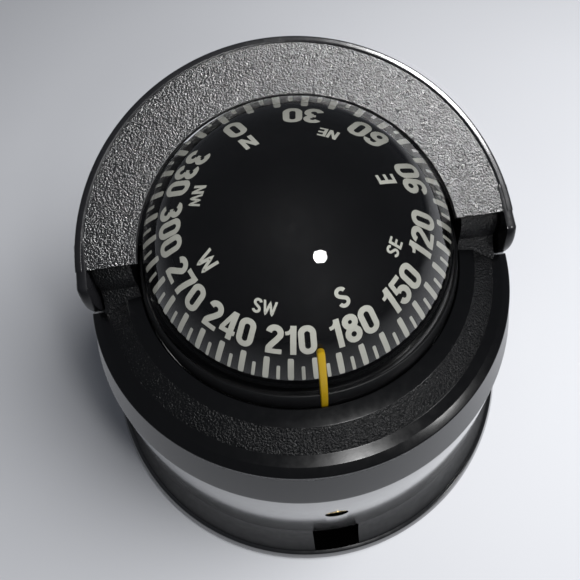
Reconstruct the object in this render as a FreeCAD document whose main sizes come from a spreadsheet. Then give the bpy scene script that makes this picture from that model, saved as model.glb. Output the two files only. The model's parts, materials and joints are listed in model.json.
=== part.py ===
import FreeCAD, Part
import math
import os
import re
import Sketcher
from FreeCAD import Placement, Rotation, Vector

# Surface-mounted marine steering compass: a domed, fluid-filled capsule with an internally
# gimballed card, held by a bezel on a flared housing, with a tilting sun hood and two
# screwdriver-turned compensators.  +Z is up, -Y is the side that faces the helmsman, and the
# origin is the centre of the underside.  Lengths are millimetres, angles are degrees.

CELLS = [
    # housing and its base
    ("r_foot", 66.9, "outer radius of the foot flange"),
    ("z_foot", 1.2, "underside of the housing, on the gasket"),
    ("foot_edge", 1.8, "height of the foot's vertical edge"),
    ("r_rim", 65.2, "radius where the concave flare meets the foot"),
    ("z_rim", 3.2, "height where the concave flare meets the foot"),
    ("r_flare", 60.0, "radius at the top of the concave flare"),
    ("z_flare", 18.5, "height of the top of the concave flare"),
    ("flare_round", 24.0, "radius of the concave flare"),
    ("r_parting", 55.1, "radius at the parting line"),
    ("z_parting", 52.0, "height of the parting line"),
    ("wall", 2.8, "housing wall"),
    ("r_flange_in", 44.0, "inner radius of the housing's inner flange"),
    ("z_flange", 5.2, "underside of the inner flange"),
    ("flange", 3.0, "thickness of the inner flange"),
    ("gasket_in", 54.0, "inner radius of the base gasket"),
    ("gasket_out", 66.0, "outer radius of the base gasket"),
    ("plate_gap", 0.3, "gap round the mounting plate"),
    ("notch_width", 13.0, "width of the cable notch"),
    ("notch_high", 15.0, "upper edge of the cable notch"),
    ("port", 2.8, "radius of the compensator ports"),
    # fixings
    ("insert_circle", 36.0, "radius of the circle of deck screws"),
    ("insert_out", 3.0, "outer radius of a threaded insert"),
    ("insert_bore", 2.1, "bore radius of a threaded insert"),
    ("plate_circle", 50.5, "radius of the circle of plate screws"),
    ("tie_circle", 47.9, "radius of the circle of tie screws"),
    ("pillar", 4.0, "radius of a tie screw's pillar"),
    ("z_pillar", 46.0, "top of the pillars and foot of the collar"),
    ("z_tie_end", 52.0, "tip of a tie screw"),
    ("screw", 1.5, "shank radius of the large screws"),
    ("screw_head", 3.0, "head radius of the large screws"),
    ("screw_sink", 1.8, "head height of the large screws"),
    ("small_screw", 1.2, "shank radius of the small screws"),
    ("small_head", 2.2, "head radius of the small screws"),
    ("small_sink", 1.4, "head height of the small screws"),
    ("screw_clear", 0.1, "clearance round a screw that passes through"),
    # cable grommet
    ("grommet_bore", 3.0, "bore radius of the cable grommet"),
    ("grommet_neck", 6.0, "neck radius of the cable grommet"),
    ("grommet_lip", 8.0, "lip radius of the cable grommet"),
    ("grommet_edge", 0.9, "thickness of the grommet's lips"),
    # collar
    ("z_collar", 59.3, "top of the collar"),
    ("r_collar_top", 50.2, "outer radius of the collar's top"),
    ("collar_step", 45.3, "inner radius of the collar's upper step"),
    ("z_bowl_seat", 56.5, "ledge that carries the bowl"),
    ("r_ledge", 39.5, "inner radius of the ledge"),
    ("ledge", 2.6, "thickness of the ledge"),
    ("spigot", 2.2, "wall of the collar's spigot"),
    ("spigot_gap", 0.2, "gap round the spigot"),
    ("bezel_screw_circle", 47.3, "radius of the circle of bezel screws"),
    ("z_bezel_screw", 63.3, "tip of a bezel screw"),
    # bezel
    ("z_ring", 64.5, "ring plane, which is also the dome's centre"),
    ("r_bezel", 51.5, "outer radius of the bezel"),
    ("bezel_shoulder", 0.8, "drop of the bezel's shoulder below the ring plane"),
    ("r_line_outer", 49.5, "outer line of the bezel"),
    ("r_line_middle", 47.3, "middle line of the bezel"),
    ("middle_rise", 0.2, "height of the middle line above the ring plane"),
    ("r_line_inner", 42.4, "inner line of the bezel"),
    ("inner_rise", 2.3, "height of the inner line above the ring plane"),
    ("r_bezel_in", 38.7, "inner radius of the bezel"),
    ("bezel_rise", 2.7, "height of the bezel's inner edge above the ring plane"),
    ("bezel_under", 1.6, "depth of the bezel's recess below the ring plane"),
    ("notch_face", 47.0, "distance of the ear recesses from the middle"),
    ("notch_gap", 0.4, "gap between a hood ear and its recess"),
    # trim ring and lubber line
    ("trim_out", 38.5, "outer radius of the trim ring"),
    ("trim_in", 37.5, "inner radius of the trim ring"),
    ("trim_top", 37.4, "outer radius of the trim ring's lip"),
    ("trim_lip", 36.95, "inner radius of the trim ring's lip"),
    ("trim_rise", 6.6, "height of the trim ring above the ring plane"),
    ("trim_bend", 2.5, "height of the trim ring's bend above the ring plane"),
    ("lubber_out", 38.6, "outer radius of the lubber line's arc"),
    ("lubber_in", 37.45, "inner radius of the lubber line's arc"),
    ("lubber_width", 1.5, "width of the lubber line"),
    ("lubber_top", 31.0, "angle of the lubber line's top"),
    ("lubber_foot", 2.3, "angle of the lubber line's foot below the ring plane"),
    ("lubber_slot", 1.6, "width of the slot in the trim ring"),
    # dome, seal and bowl
    ("dome_out", 37.3, "outer radius of the dome"),
    ("dome_in", 34.9, "inner radius of the dome"),
    ("capsule_flange", 44.8, "flange radius of the dome and the bowl"),
    ("z_dome_foot", 60.5, "underside of the dome's flange"),
    ("z_bowl_top", 59.5, "top of the bowl's flange"),
    ("seal_in", 35.4, "inner radius of the dome seal"),
    ("bowl_out", 37.8, "outer radius of the bowl"),
    ("bowl_in", 35.2, "inner radius of the bowl"),
    ("z_bowl", 40.6, "underside of the bowl"),
    ("bowl_floor", 1.7, "thickness of the bowl's floor"),
    ("bowl_round", 6.0, "radius of the bowl's lower corner"),
    ("window", 12.0, "radius of the expansion opening"),
    ("diaphragm", 16.5, "radius of the expansion diaphragm"),
    ("diaphragm_thick", 0.6, "thickness of the diaphragm"),
    ("retainer", 21.0, "outer radius of the retainer ring"),
    ("retainer_thick", 1.0, "thickness of the retainer ring"),
    ("retainer_circle", 18.7, "radius of the circle of retainer screws"),
    ("tiny_screw", 0.8, "shank radius of the retainer screws"),
    ("tiny_head", 1.4, "head radius of the retainer screws"),
    ("tiny_sink", 0.8, "head height of the retainer screws"),
    ("plug_circle", 26.0, "distance of the fill plug from the middle"),
    ("plug", 2.5, "shank radius of the fill plug"),
    ("plug_head", 4.0, "head radius of the fill plug"),
    # gimbals
    ("z_gimbal", 58.0, "height of both gimbal axes"),
    ("gimbal_half", 2.0, "half height of the gimbal rings"),
    ("outer_ring_out", 33.0, "outer radius of the outer gimbal ring"),
    ("outer_ring_in", 29.5, "inner radius of the outer gimbal ring"),
    ("frame_out", 28.3, "outer radius of the gimbal frame"),
    ("frame_in", 24.8, "inner radius of the gimbal frame"),
    ("frame_web", 1.6, "thickness of the gimbal frame's web"),
    ("z_hub", 51.0, "underside of the gimbal frame's hub"),
    ("hub", 8.0, "radius of the gimbal frame's hub"),
    ("lightening", 5.2, "radius of the holes in the web"),
    ("lightening_circle", 16.5, "distance of the web's holes from the middle"),
    ("pin", 0.9, "radius of a gimbal pin"),
    ("pin_clear", 0.05, "running clearance of a gimbal pin"),
    ("outer_pin_start", 30.2, "inner end of the pins in the bowl"),
    ("outer_pin_end", 37.0, "outer end of the pins in the bowl"),
    ("inner_pin_start", 25.6, "inner end of the pins in the ring"),
    ("inner_pin_end", 32.6, "outer end of the pins in the ring"),
    ("weight", 12.0, "radius of the counterweight"),
    ("z_weight", 46.3, "underside of the counterweight"),
    ("weight_edge", 0.7, "chamfer of the counterweight"),
    ("post", 1.5, "radius of the pivot post"),
    ("z_post_taper", 64.5, "start of the post's taper"),
    ("z_tip", 68.5, "tip of the pivot post"),
    ("tip", 0.2, "radius of the tip"),
    # card
    ("card_round", 31.0, "radius of the card's dished face"),
    ("card_thick", 1.0, "thickness of the card"),
    ("z_card_centre", 49.9, "centre of the card's dished face"),
    ("z_card_edge", 63.1, "height of the card's edge"),
    ("card_hub", 6.0, "radius of the card's hub"),
    ("jewel", 3.5, "radius of the jewel cup"),
    ("jewel_mouth", 2.6, "radius of the jewel cup's mouth"),
    ("z_jewel", 66.0, "underside of the jewel cup"),
    ("z_jewel_top", 72.0, "top of the jewel cup"),
    ("jewel_gap", 0.08, "gap above the pivot tip"),
    ("float_out", 15.5, "radius of the float"),
    ("z_float", 66.2, "underside of the float"),
    ("z_float_top", 74.5, "top of the float"),
    ("float_edge", 1.5, "chamfer of the float"),
    ("float_wall", 1.0, "wall of the hollow float"),
    ("magnet_offset", 9.0, "distance of each magnet from the middle"),
    ("magnet_width", 3.5, "width of a card magnet"),
    ("magnet_length", 30.0, "length of a card magnet"),
    ("magnet_height", 4.0, "height of a card magnet"),
    ("card_heading", 19.0, "turn of the card's north from the +Y axis"),
    # hood
    ("z_hood", 69.0, "height of the hood's axis"),
    ("hood_tilt", 21.0, "tilt of the hood as stowed"),
    ("hood_in", 36.5, "radius of the hood's opening"),
    ("hood_shift", 1.9, "offset of the hood's opening in front of its axis"),
    ("hood_out", 50.2, "outer radius of the hood"),
    ("hood_low", 6.5, "underside of the hood's plate above its axis"),
    ("hood_high", 7.7, "top of the hood's plate above its axis"),
    ("hood_bead", 8.0, "top of the hood's edge bead"),
    ("hood_skirt", 3.6, "foot of the hood's edge skirt"),
    ("bead", 1.6, "width of the hood's edge bead"),
    ("hood_lip", 1.0, "overhang of the plate in front of its axis"),
    ("ear", 9.5, "radius of the hood's ears"),
    ("ear_thick", 2.6, "thickness of the hood's ears"),
    ("knuckle", 5.6, "radius of the bezel's knuckles"),
    ("knuckle_foot", 10.8, "half width of a knuckle's foot"),
    ("knuckle_sink", 0.9, "depth of a knuckle's foot below the ring plane"),
    ("pivot", 2.0, "radius of a hood pivot screw"),
    ("pivot_clear", 0.05, "running clearance of a hood pivot screw"),
    ("pivot_start", 40.5, "inner end of a hood pivot screw"),
    ("pivot_head", 3.6, "head radius of a hood pivot screw"),
    ("pivot_sink", 1.0, "head height of a hood pivot screw"),
    ("washer", 4.5, "radius of a hood washer"),
    ("washer_gap", 0.05, "play each side of a hood washer"),
    # compensators
    ("z_fore_rod", 37.6, "height of the fore-and-aft compensator"),
    ("z_cross_rod", 31.0, "height of the athwartships compensator"),
    ("rod", 1.2, "radius of the compensator rods"),
    ("rod_clear", 0.05, "running clearance of the compensator rods"),
    ("rod_head", 2.6, "head radius of the compensator rods"),
    ("head_length", 2.6, "head length of the compensator rods"),
    ("head_inset", 0.3, "depth of a rod's head inside its port"),
    ("rod_tail", 30.0, "reach of the rods past the middle"),
    ("slot", 0.9, "width of a screwdriver slot"),
    ("slot_deep", 1.0, "depth of a screwdriver slot"),
    ("rod_magnet", 1.8, "radius of a compensator magnet"),
    ("rod_play", 0.1, "end play of a compensator magnet between its lugs"),
    ("bracket", 30.0, "radius of the compensator bracket"),
    ("z_bracket", 20.0, "underside of the compensator bracket"),
    ("bracket_thick", 2.5, "thickness of the compensator bracket"),
    ("lug_near", 22.5, "inner face of a bracket lug"),
    ("lug_thick", 3.0, "thickness of a bracket lug"),
    ("lug_width", 8.0, "width of a bracket lug"),
    ("lug_above", 2.4, "height of a bracket lug above its rod's axis"),
    ("leg_width", 10.0, "width of a bracket leg"),
    ("leg_out", 50.0, "outer face of a bracket leg"),
    ("leg_thick", 4.5, "thickness of a bracket leg"),
    ("z_leg_screw", 16.0, "tip of a bracket screw"),
    # lamp
    ("lamp_near", 39.4, "inner face of the lamp pocket"),
    ("lamp_far", 44.0, "outer face of the lamp pocket"),
    ("lamp_width", 8.4, "width of the lamp pocket"),
    ("z_lamp_roof", 65.0, "roof of the lamp pocket"),
    ("lamp_gap", 0.2, "gap round the lamp board"),
    ("lamp_board", 1.2, "thickness of the lamp board"),
    ("led_width", 3.2, "width of the lamp"),
    ("led_depth", 2.6, "depth of the lamp"),
    ("led_height", 0.8, "height of the lamp"),
]
NAMES = {name for name, _, _ in CELLS}
NO_TURN = Rotation()
TO_X = Rotation(Vector(0, 1, 0), 90)
TO_Y = Rotation(Vector(1, 0, 0), -90)
TO_MINUS_X = Rotation(Vector(0, 1, 0), -90)
TO_MINUS_Y = Rotation(Vector(1, 0, 0), 90)

doc = FreeCAD.newDocument("compass")
sizes = doc.addObject("Spreadsheet::Sheet", "sizes")
nodes = []


def fill_sheet():
    """Write one driving dimension to a row: its meaning and its aliased value."""
    for row, (name, value, meaning) in enumerate(CELLS, start=1):
        sizes.set(f"A{row}", meaning)
        sizes.set(f"B{row}", str(value))
        sizes.setAlias(f"B{row}", name)
    doc.recompute()


def bound(expression):
    """Turn the short form of an expression into one that reads the sheet."""
    def replace(match):
        word = match.group()
        return f"sizes.{word}" if word in NAMES else word
    return re.sub(r"[a-z][a-z_0-9]*", replace, expression)


def value(item, expression):
    """Evaluate an expression in the short form."""
    return float(item.evalExpression(bound(expression)))


def node(label, item):
    """Name a finished sub-part and list it for export."""
    item.Label = label
    nodes.append(item)
    return item


# ---------------------------------------------------------------- sketches and bodies

def new_body(name, plane):
    """Start a body with a sketch on one of its own origin planes."""
    body = doc.addObject("PartDesign::Body", name)
    sketch = body.newObject("Sketcher::SketchObject", f"{name}_sketch")
    support = next(part for part in body.Origin.OriginFeatures if part.Role == plane)
    sketch.AttachmentSupport = [(support, "")]
    sketch.MapMode = "FlatFace"
    return body, sketch


def arc_between(start, end, radius):
    """Short arc between two points; a positive radius puts its centre on the left."""
    chord = end - start
    half = chord.Length / 2
    left = Vector(-chord.y, chord.x, 0).normalize()
    rise = math.sqrt(radius ** 2 - half ** 2)
    side = math.copysign(1, radius)
    middle = (start + end) / 2 + left * (side * (rise - abs(radius)))
    return Part.Arc(start, middle, end)


def draw(sketch, points):
    """Draw a closed outline and bind each corner and arc radius to the sheet.

    A point is (x, y) or (x, y, radius), where the radius belongs to the arc that leaves it.
    """
    places = [Vector(value(sketch, point[0]), value(sketch, point[1]), 0) for point in points]
    for index, point in enumerate(points):
        start = places[index]
        end = places[(index + 1) % len(places)]
        if len(point) == 3:
            curve = arc_between(start, end, value(sketch, point[2]))
        else:
            curve = Part.LineSegment(start, end)
        sketch.addGeometry(curve, False)
    for index, point in enumerate(points):
        starts, ends = end_numbers(sketch, index, places[index])
        following = (index + 1) % len(points)
        next_start, _ = end_numbers(sketch, following, places[following])
        bind(sketch, "DistanceX", (-1, 1, index, starts), point[0])
        bind(sketch, "DistanceY", (-1, 1, index, starts), point[1])
        sketch.addConstraint(Sketcher.Constraint("Coincident", index, ends, following, next_start))
        if len(point) == 3:
            bind(sketch, "Radius", (index,), point[2].lstrip("-"))


def end_numbers(sketch, index, start):
    """Point numbers of a curve's start and end; an arc may be stored the other way round."""
    first = sketch.getPoint(index, 1)
    return (1, 2) if (first - start).Length < 1e-6 else (2, 1)


def bind(sketch, kind, targets, expression):
    """Add a dimension and bind it to the sheet."""
    row = sketch.addConstraint(Sketcher.Constraint(kind, *targets, value(sketch, expression)))
    sketch.setExpression(f"Constraints[{row}]", bound(expression))


def revolved(name, points, angle=360.0, reverse=False):
    """Body turned about Z from an outline of (radius, height) points."""
    body, sketch = new_body(name, "XZ_Plane")
    draw(sketch, points)
    turn = body.newObject("PartDesign::Revolution", f"{name}_turn")
    turn.Profile = sketch
    turn.ReferenceAxis = (sketch, ["V_Axis"])
    turn.Angle = angle
    turn.Reversed = reverse
    sketch.Visibility = False
    return body


def padded(name, points, length):
    """Body drawn in the YZ plane and padded evenly to both sides."""
    body, sketch = new_body(name, "YZ_Plane")
    draw(sketch, points)
    pad = body.newObject("PartDesign::Pad", f"{name}_pad")
    pad.Profile = sketch
    pad.Midplane = True
    pad.setExpression("Length", bound(length))
    return body


# ---------------------------------------------------------------- primitives and booleans

def primitive(kind, name, lengths, place, turn):
    """Part primitive whose lengths and place are bound to the sheet."""
    item = doc.addObject(kind, name)
    item.Placement = Placement(Vector(), turn)
    for key, expression in lengths.items():
        item.setExpression(key, bound(expression))
    for axis, expression in zip("xyz", place):
        item.setExpression(f"Placement.Base.{axis}", bound(expression))
    return item


def block(name, place, lengths):
    """Box from its lowest corner."""
    keys = dict(zip(("Length", "Width", "Height"), lengths))
    return primitive("Part::Box", name, keys, place, NO_TURN)


def cylinder(name, radius, length, place, turn=NO_TURN):
    """Cylinder from the centre of its first end."""
    return primitive("Part::Cylinder", name, {"Radius": radius, "Height": length}, place, turn)


def fused(name, items):
    """Union of several items."""
    item = doc.addObject("Part::MultiFuse", name)
    item.Shapes = items
    return item


def cut(name, base, tools):
    """Base less one or more tools."""
    item = doc.addObject("Part::Cut", name)
    item.Base = base
    item.Tool = tools[0] if len(tools) == 1 else fused(f"{name}_tools", tools)
    return item


def around(circle, start, count=4):
    """Places evenly spaced on a circle, as pairs of expressions."""
    step = 360.0 / count
    angles = [start + step * index for index in range(count)]
    return [(f"{circle} * cos({a} deg)", f"{circle} * sin({a} deg)") for a in angles]


def upright(name, radius, low, high, places):
    """Upright cylinders of one height at several places."""
    return [cylinder(f"{name}_{i}", radius, f"{high} - ({low})", (x, y, low))
            for i, (x, y) in enumerate(places)]


def screws(name, sizes_of_screw, low, high, places):
    """Group of upright screws with their heads down."""
    shank, head, sink = sizes_of_screw
    shanks = upright(f"{name}_shank", shank, low, high, places)
    heads = upright(f"{name}_head", head, low, f"{low} + {sink}", places)
    return fused(name, shanks + heads)


def both_sides(name, radius, start, length, height, turns):
    """Two cylinders on one horizontal axis, each running outward from its start."""
    items = []
    for index, turn in enumerate(turns):
        side = ("", "-")[index]
        along = f"{side}({start})"
        place = (along, "0", height) if turn in (TO_X, TO_MINUS_X) else ("0", along, height)
        items.append(cylinder(f"{name}_{index}", radius, length, place, turn))
    return items


LARGE = ("screw", "screw_head", "screw_sink")
SMALL = ("small_screw", "small_head", "small_sink")
TINY = ("tiny_screw", "tiny_head", "tiny_sink")
LEG_PLACES = around("(leg_out - leg_thick / 2)", 0)
PLATE_PLACES = around("plate_circle", 22.5)
TIE_PLACES = around("tie_circle", 45)
INSERT_PLACES = around("insert_circle", 67.5)
BEZEL_PLACES = around("bezel_screw_circle", 30, 6)
RETAINER_PLACES = around("retainer_circle", 0, 6)
ALONG_X = (TO_X, TO_MINUS_X)
ALONG_Y = (TO_Y, TO_MINUS_Y)


# ---------------------------------------------------------------- base and housing

def make_base():
    """Gasket, mounting plate with its inserts and screws, and cable grommet."""
    node("base_gasket", revolved("gasket", [
        ("gasket_in", "0"), ("gasket_out", "0"), ("gasket_out", "z_foot"), ("gasket_in", "z_foot")]))
    plate = revolved("plate", [
        ("grommet_neck", "z_foot"), ("r_flare - wall - plate_gap", "z_foot"),
        ("r_flare - wall - plate_gap", "z_flange"), ("grommet_neck", "z_flange")])
    sunk = upright("plate_sink", "screw_head", "z_foot", "z_foot + screw_sink", PLATE_PLACES)
    clear = upright("plate_hole", "screw + screw_clear", "z_foot", "z_flange", PLATE_PLACES)
    seats = upright("insert_seat", "insert_out", "z_foot", "z_flange", INSERT_PLACES)
    node("mounting_plate", cut("mounting_plate_cut", plate, sunk + clear + seats))
    sleeves = upright("insert", "insert_out", "z_foot", "z_flange", INSERT_PLACES)
    bores = upright("insert_bore", "insert_bore", "z_foot", "z_flange", INSERT_PLACES)
    node("deck_inserts", cut("inserts_cut", fused("inserts", sleeves), bores))
    node("plate_screws", screws("plate_screw", LARGE, "z_foot", "z_flange + flange", PLATE_PLACES))
    node("cable_grommet", revolved("grommet", [
        ("grommet_bore", "z_foot - grommet_edge"), ("grommet_lip", "z_foot - grommet_edge"),
        ("grommet_lip", "z_foot"), ("grommet_neck", "z_foot"), ("grommet_neck", "z_flange"),
        ("grommet_lip", "z_flange"), ("grommet_lip", "z_flange + grommet_edge"),
        ("grommet_bore", "z_flange + grommet_edge")]))


def make_housing():
    """Flared shell with an inner flange, four pillars, the cable notch and two ports."""
    inside = "r_flare - wall"
    shell = revolved("shell", [
        ("r_flange_in", "z_flange"), (inside, "z_flange"), (inside, "z_foot"),
        ("r_foot", "z_foot"), ("r_foot", "z_foot + foot_edge"), ("r_rim", "z_rim", "-flare_round"),
        ("r_flare", "z_flare"), ("r_parting", "z_parting"), ("r_parting - wall", "z_parting"),
        (inside, "z_flare"), (inside, "z_flange + flange"), ("r_flange_in", "z_flange + flange")])
    pillars = upright("pillar", "pillar", "z_flange", "z_pillar", TIE_PLACES)
    notch = block("cable_notch", ("-notch_width / 2", "-r_foot", "z_rim"),
                  ("notch_width", "r_foot - r_flare + 2 * wall", "notch_high - z_rim"))
    ports = [
        cylinder("fore_port", "port", "wall * 4", ("0", "-r_flare", "z_fore_rod"), TO_Y),
        cylinder("cross_port", "port", "wall * 4", ("r_flare", "0", "z_cross_rod"), TO_MINUS_X)]
    tie_heads = upright("tie_sink", "screw_head", "z_flange", "z_flange + screw_sink", TIE_PLACES)
    tie_holes = upright("tie_hole", "screw + screw_clear", "z_flange", "z_pillar", TIE_PLACES)
    leg_heads = upright("leg_sink", "small_head", "z_flange", "z_flange + small_sink", LEG_PLACES)
    leg_holes = upright("leg_hole", "small_screw + screw_clear", "z_flange", "z_flange + flange",
                        LEG_PLACES)
    plate_holes = upright("flange_hole", "screw", "z_flange", "z_flange + flange", PLATE_PLACES)
    holes = tie_heads + tie_holes + leg_heads + leg_holes + plate_holes
    housing = cut("housing_cut", fused("housing_blank", [shell] + pillars),
                  [notch] + ports + holes)
    node("base_housing", housing)
    node("tie_screws", screws("tie_screw", LARGE, "z_flange", "z_tie_end", TIE_PLACES))


def make_collar():
    """Collar that closes the housing and carries the capsule on its ledge."""
    ledge_foot = "z_bowl_seat - ledge"
    outer = "r_parting - wall - spigot_gap"
    ring = revolved("collar_ring", [
        ("r_ledge", "z_bowl_seat"), ("r_ledge", ledge_foot), (f"{outer} - spigot", ledge_foot),
        (f"{outer} - spigot", "z_pillar"), (outer, "z_pillar"), (outer, "z_parting"),
        ("r_parting", "z_parting"), ("r_collar_top", "z_collar"), ("collar_step", "z_collar"),
        ("collar_step", "z_bowl_seat")])
    bosses = upright("collar_boss", "pillar", "z_pillar", f"{ledge_foot}", TIE_PLACES)
    tie_holes = upright("boss_hole", "screw", "z_pillar", "z_tie_end", TIE_PLACES)
    through = upright("collar_hole", "small_screw + screw_clear", ledge_foot, "z_collar",
                      BEZEL_PLACES)
    node("collar", cut("collar_cut", fused("collar_blank", [ring] + bosses),
                       tie_holes + through))
    node("bezel_screws", screws("bezel_screw", SMALL, f"{ledge_foot} - small_sink",
                                "z_bezel_screw", BEZEL_PLACES))


# ---------------------------------------------------------------- bezel, trim and lubber line

def make_bezel():
    """Stepped bezel ring with two knuckles for the hood, and recesses for the hood's ears."""
    under = "z_ring - bezel_under"
    ring = revolved("bezel", [
        ("r_bezel_in", under), ("collar_step", under), ("collar_step", "z_collar"),
        ("r_bezel", "z_collar"), ("r_bezel", "z_ring - bezel_shoulder"),
        ("r_line_outer", "z_ring"), ("r_line_middle", "z_ring + middle_rise"),
        ("r_line_inner", "z_ring + inner_rise"), ("r_bezel_in", "z_ring + bezel_rise")])
    knuckles = padded("knuckle_bar", [
        ("-knuckle_foot", "z_ring - knuckle_sink"), ("knuckle_foot", "z_ring - knuckle_sink"),
        ("knuckle", "z_hood", "knuckle"), ("0", "z_hood + knuckle", "knuckle"),
        ("-knuckle", "z_hood")], "2 * notch_face")
    middle = cylinder("knuckle_middle", "r_bezel_in", "z_ring", ("0", "0", "z_ring / 2"))
    blank = fused("bezel_blank", [ring, cut("knuckles", knuckles, [middle])])
    recesses = both_sides("recess", "ear + notch_gap", "notch_face", "r_bezel - notch_face",
                          "z_hood", ALONG_X)
    screw_holes = upright("bezel_hole", "small_screw", "z_collar", "z_bezel_screw", BEZEL_PLACES)
    pivots = both_sides("pivot_hole", "pivot", "pivot_start", "notch_face - pivot_start",
                        "z_hood", ALONG_X)
    pocket = block("lamp_pocket", ("-lamp_width / 2", "lamp_near", under),
                   ("lamp_width", "lamp_far - lamp_near", f"z_lamp_roof - ({under})"))
    node("bezel_ring", cut("bezel_cut", blank, recesses + screw_holes + pivots + [pocket]))


def make_trim():
    """Slotted trim ring round the dome, with the lubber line standing in its slot."""
    under = "z_ring - bezel_under"
    ring = revolved("trim", [
        ("trim_in", under), ("trim_out", under), ("trim_out", "z_ring + trim_bend"),
        ("trim_top", "z_ring + trim_rise"), ("trim_lip", "z_ring + trim_rise"),
        ("trim_in", "z_ring + trim_bend")])
    slot = block("trim_slot", ("-lubber_slot / 2", "-trim_out", under),
                 ("lubber_slot", "trim_out - trim_lip + 1", "2 * trim_rise"))
    node("dome_trim_ring", cut("trim_cut", ring, [slot]))
    corners = [("lubber_out", "-lubber_foot"), ("lubber_out", "lubber_top"),
               ("lubber_in", "lubber_top"), ("lubber_in", "-lubber_foot")]
    points = [(f"-{radius} * cos({angle} * 1 deg)", f"z_ring + {radius} * sin({angle} * 1 deg)")
              for radius, angle in corners]
    points[0] += ("-lubber_out",)
    points[2] += ("lubber_in",)
    node("lubber_line", padded("lubber", points, "lubber_width"))


def make_lamp():
    """Card lamp on its small board, in the pocket behind the dome."""
    node("lamp_board", block(
        "board", ("lamp_gap - lamp_width / 2", "lamp_near + lamp_gap", "z_lamp_roof - lamp_board"),
        ("lamp_width - 2 * lamp_gap", "lamp_far - lamp_near - 2 * lamp_gap", "lamp_board")))
    node("card_lamp", block(
        "led", ("-led_width / 2", "lamp_near + 2 * lamp_gap", "z_lamp_roof - lamp_board - led_height"),
        ("led_width", "led_depth", "led_height")))


# ---------------------------------------------------------------- capsule

def make_capsule():
    """Dome window, its seal, and the bowl below with its pins, diaphragm and fill plug."""
    node("dome_window", revolved("dome", [
        ("dome_out", "z_ring", "dome_out"), ("0", "z_ring + dome_out"),
        ("0", "z_ring + dome_in", "-dome_in"), ("dome_in", "z_ring"),
        ("dome_in", "z_dome_foot"), ("capsule_flange", "z_dome_foot"),
        ("capsule_flange", "z_ring - bezel_under"), ("dome_out", "z_ring - bezel_under")]))
    node("dome_seal", revolved("seal", [
        ("seal_in", "z_bowl_top"), ("capsule_flange", "z_bowl_top"),
        ("capsule_flange", "z_dome_foot"), ("seal_in", "z_dome_foot")]))
    floor = "z_bowl + bowl_floor"
    seat = "z_bowl + bowl_floor / 2"
    bowl = revolved("bowl", [
        ("window", floor), ("window", seat), ("diaphragm", seat), ("diaphragm", "z_bowl"),
        ("bowl_out - bowl_round", "z_bowl", "bowl_round"), ("bowl_out", "z_bowl + bowl_round"),
        ("bowl_out", "z_bowl_seat"), ("capsule_flange", "z_bowl_seat"),
        ("capsule_flange", "z_bowl_top"), ("bowl_in", "z_bowl_top"),
        ("bowl_in", f"{floor} + bowl_round", "-bowl_round"), ("bowl_in - bowl_round", floor)])
    pin_holes = both_sides("bowl_pin_hole", "pin", "bowl_in - 1", "outer_pin_end - bowl_in + 1",
                           "z_gimbal", ALONG_X)
    screw_holes = upright("bowl_hole", "tiny_screw", "z_bowl", seat, RETAINER_PLACES)
    plug_place = around("plug_circle", 45, 1)
    plug_hole = upright("plug_hole", "plug", "z_bowl", floor, plug_place)
    node("capsule_bowl", cut("bowl_cut", bowl, pin_holes + screw_holes + plug_hole))
    node("gimbal_pitch_pins", fused("pitch_pins", both_sides(
        "pitch_pin", "pin", "outer_pin_start", "outer_pin_end - outer_pin_start",
        "z_gimbal", ALONG_X)))
    node("expansion_diaphragm", revolved("membrane", [
        ("0", f"{seat} - diaphragm_thick"), ("diaphragm", f"{seat} - diaphragm_thick"),
        ("diaphragm", seat), ("0", seat)]))
    low = "z_bowl - retainer_thick"
    ring = revolved("retainer", [
        ("window", low), ("retainer", low), ("retainer", "z_bowl"), ("diaphragm", "z_bowl"),
        ("diaphragm", f"{seat} - diaphragm_thick"), ("window", f"{seat} - diaphragm_thick")])
    clear = upright("retainer_hole", "tiny_screw", low, "z_bowl", RETAINER_PLACES)
    node("diaphragm_retainer", cut("retainer_cut", ring, clear))
    node("retainer_screws", screws("retainer_screw", TINY, f"{low} - tiny_sink", seat,
                                   RETAINER_PLACES))
    shank = upright("plug_shank", "plug", "z_bowl", floor, plug_place)
    head = upright("plug_cap", "plug_head", "z_bowl - retainer_thick", "z_bowl", plug_place)
    node("fill_plug", fused("plug_blank", shank + head))


# ---------------------------------------------------------------- gimbals and card

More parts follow.
